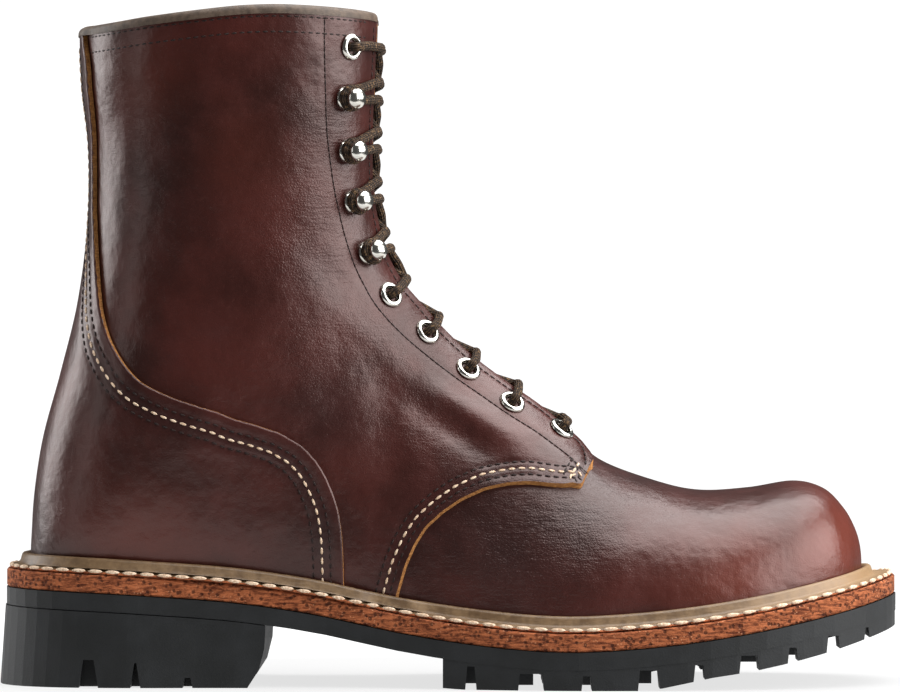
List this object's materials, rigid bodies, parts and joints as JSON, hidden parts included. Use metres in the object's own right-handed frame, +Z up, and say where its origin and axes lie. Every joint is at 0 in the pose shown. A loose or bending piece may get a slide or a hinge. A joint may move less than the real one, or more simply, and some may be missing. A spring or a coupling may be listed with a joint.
{
  "type": "logger boot",
  "caption": "Right logger boot: tall laced leather upper on a stitched storm welt, leather midsole, lugged rubber outsole and raised heel.",
  "frame": {"origin": "centre of the bounding box in plan, on the ground plane", "axes": "+X towards the toe, +Z up, -Y towards the outer (lateral) side of this right boot"},
  "size_m": [0.312, 0.1159, 0.2343],
  "materials": {
    "leather": "pull-up leather, satin to glossy",
    "tongue": "satin",
    "binding": "matte",
    "insole": "matte",
    "welt": "waxed",
    "midsole": "rough cut edge",
    "rubber": "matte",
    "nickel": "polished",
    "lace": "round braided cord"
  },
  "bodies": {
    "root": {"outsole": "rubber", "heel": "rubber", "midsole": "midsole", "welt": "welt", "insole": "insole", "upper": "leather", "counter_backstay": "leather", "tongue": "tongue", "collar_binding": "binding", "eyelet_outer_1": "nickel", "eyelet_outer_2": "nickel", "eyelet_outer_3": "nickel", "eyelet_outer_4": "nickel", "eyelet_outer_5": "nickel", "eyelet_outer_6": "nickel", "hook_outer_1": "nickel", "hook_outer_2": "nickel", "hook_outer_3": "nickel", "hook_outer_4": "nickel", "eyelet_inner_1": "nickel", "eyelet_inner_2": "nickel", "eyelet_inner_3": "nickel", "eyelet_inner_4": "nickel", "eyelet_inner_5": "nickel", "eyelet_inner_6": "nickel", "hook_inner_1": "nickel", "hook_inner_2": "nickel", "hook_inner_3": "nickel", "hook_inner_4": "nickel", "lace_crossing_1": "lace", "lace_crossing_2": "lace", "lace_crossing_3": "lace", "lace_crossing_4": "lace", "lace_crossing_5": "lace", "lace_crossing_6": "lace", "lace_crossing_7": "lace", "lace_crossing_8": "lace", "lace_crossing_9": "lace", "lace_bottom_bar": "lace"}
  },
  "joints": []
}
